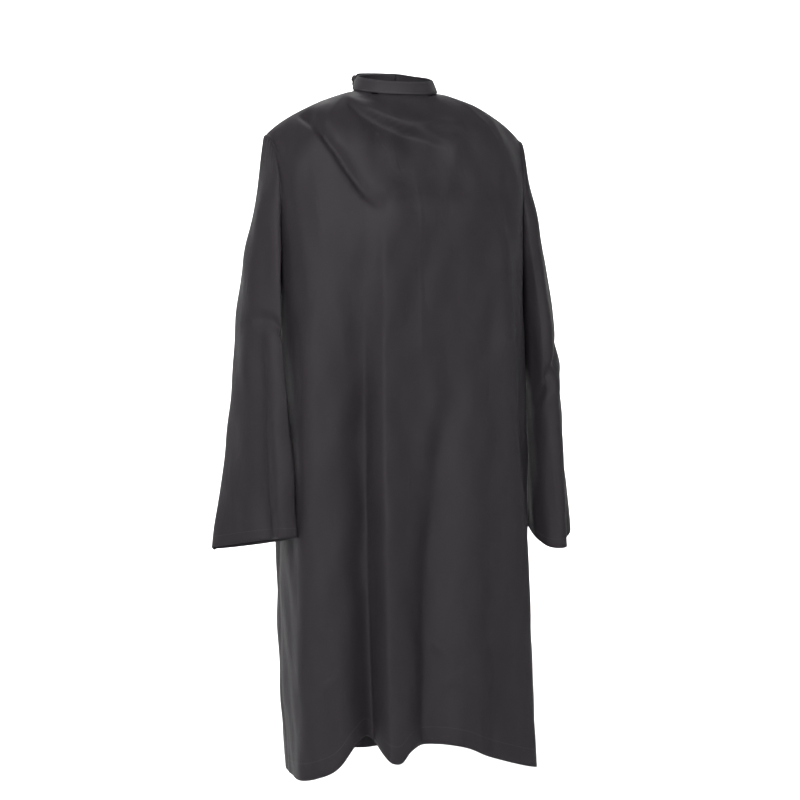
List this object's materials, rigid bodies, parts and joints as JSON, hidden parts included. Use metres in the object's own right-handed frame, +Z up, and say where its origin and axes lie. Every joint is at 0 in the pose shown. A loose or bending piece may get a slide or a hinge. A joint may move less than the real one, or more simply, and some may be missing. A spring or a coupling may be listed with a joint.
{
  "type": "barber cape",
  "caption": "Sleeved salon cape with a stand-up neckband and a wrap-over back that closes at the nape with a press stud.",
  "frame": {"origin": "middle of the wearer's neck inside the neckband, level with the sides of its foot", "axes": "+Z up the wearer, -Y the way the wearer faces, +X the wearer's left"},
  "size_m": [0.6692, 0.3239, 1.2159],
  "materials": {
    "cape_cloth": "satin-matte woven polyester, black",
    "neckband_cloth": "satin-matte woven polyester, black, interfaced",
    "interfacing": "matte nonwoven",
    "press_stud": "black lacquered",
    "label": "matte woven tape, blank"
  },
  "bodies": {
    "gown": {"front_panel": "cape_cloth", "left_back_panel": "cape_cloth", "right_back_panel": "cape_cloth", "neckband_lining": "neckband_cloth", "neckband_interfacing": "interfacing", "neckband_face": "neckband_cloth", "snap_stud_1": "press_stud", "snap_stud_2": "press_stud", "snap_stud_3": "press_stud", "snap_post_1": "press_stud", "snap_post_2": "press_stud", "snap_post_3": "press_stud", "blank_label": "label"},
    "neck_tab": {"neck_tab_lining": "neckband_cloth", "neck_tab_interfacing": "interfacing", "neck_tab_face": "neckband_cloth", "snap_socket": "press_stud", "snap_cap": "press_stud"},
    "left_flap": {"left_back_flap": "cape_cloth"},
    "right_flap": {"right_back_flap": "cape_cloth"},
    "left_arm": {"left_sleeve": "cape_cloth"},
    "right_arm": {"right_sleeve": "cape_cloth"}
  },
  "joints": [
    {"name": "neck_tab_open", "type": "hinge", "parent": "gown", "child": "neck_tab", "pos_m": [-0.0105, 0.0734, 0.0088], "axis": [-0.0496, 0.3753, -0.9256], "range_deg": [0, 110]},
    {"name": "left_flap_open", "type": "hinge", "parent": "gown", "child": "left_flap", "pos_m": [0.164, 0.113, -0.65], "axis": [0.0202, 0, -0.9998], "range_deg": [0, 70]},
    {"name": "right_flap_open", "type": "hinge", "parent": "gown", "child": "right_flap", "pos_m": [-0.138, 0.113, -0.65], "axis": [-0.0202, 0, 0.9998], "range_deg": [0, 30]},
    {"name": "left_sleeve_lift", "type": "hinge", "parent": "gown", "child": "left_arm", "pos_m": [0.231, 0, -0.087], "axis": [0, -1, 0], "range_deg": [0, 45]},
    {"name": "right_sleeve_lift", "type": "hinge", "parent": "gown", "child": "right_arm", "pos_m": [-0.231, 0, -0.087], "axis": [0, 1, 0], "range_deg": [0, 45]}
  ],
  "couplings": [
    {"joint": "right_flap_open", "follows": "left_flap_open", "ratio": 0.42}
  ]
}
